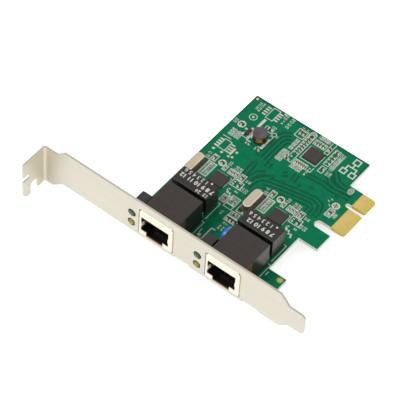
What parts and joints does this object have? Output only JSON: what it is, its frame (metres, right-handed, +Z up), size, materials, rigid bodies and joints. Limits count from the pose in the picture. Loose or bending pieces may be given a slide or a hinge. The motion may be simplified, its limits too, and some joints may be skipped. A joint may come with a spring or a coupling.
{
  "type": "network interface card",
  "caption": "Green network card with a folded steel bracket, open cable ports with lamps, tall black transformer modules and a short edge connector",
  "frame": {"origin": "The card-edge datum: centre line of the key notch, at the tip of the edge connector, on the component face of the board", "axes": "+X points out of the edge connector into the slot, +Y runs from the bracket into the case, +Z points up from the component side. The card lies component side up"},
  "size_m": [0.12, 0.0911, 0.0226],
  "materials": {
    "bracket_steel": "satin",
    "screw_steel": "satin",
    "solder_mask": "gloss",
    "gold": "satin",
    "chip_plastic": "matt",
    "ferrite": "matt",
    "copper": "satin",
    "tin": "satin",
    "blue_epoxy": "gloss",
    "capacitor_ceramic": "satin",
    "resistor_black": "satin",
    "solder": "satin",
    "jack_plastic": "satin",
    "shield_steel": "satin",
    "holder_plastic": "satin",
    "green_lens": "gloss",
    "yellow_lens": "gloss",
    "module_plastic": "gloss",
    "can_metal": "satin",
    "base_plastic": "matt"
  },
  "bodies": {
    "root": {"bracket": "bracket_steel", "bracket_screws": "screw_steel", "circuit_board": "solder_mask", "edge_contacts": "gold", "switch_chip": "chip_plastic", "inductor_core": "ferrite", "inductor_winding": "copper", "inductor_terminals": "tin", "transistor_body": "chip_plastic", "transistor_leads": "tin", "disc_capacitor_body": "blue_epoxy", "disc_capacitor_leads": "tin", "chip_capacitors": "capacitor_ceramic", "chip_resistors": "resistor_black", "chip_end_caps": "tin", "solder_joints": "solder", "jack_1_housing": "jack_plastic", "jack_1_contact_carrier": "jack_plastic", "jack_1_contacts": "gold", "jack_1_shield": "shield_steel", "led_holder_1": "holder_plastic", "green_led_1": "green_lens", "yellow_led_1": "yellow_lens", "led_leads_1": "tin", "magnetics_1_body": "module_plastic", "magnetics_1_leads": "tin", "crystal_1_can": "can_metal", "crystal_1_base": "base_plastic", "crystal_1_leads": "tin", "phy_chip_1": "chip_plastic", "jack_2_housing": "jack_plastic", "jack_2_contact_carrier": "jack_plastic", "jack_2_contacts": "gold", "jack_2_shield": "shield_steel", "led_holder_2": "holder_plastic", "green_led_2": "green_lens", "yellow_led_2": "yellow_lens", "led_leads_2": "tin", "magnetics_2_body": "module_plastic", "magnetics_2_leads": "tin", "crystal_2_can": "can_metal", "crystal_2_base": "base_plastic", "crystal_2_leads": "tin", "phy_chip_2": "chip_plastic"}
  },
  "joints": []
}
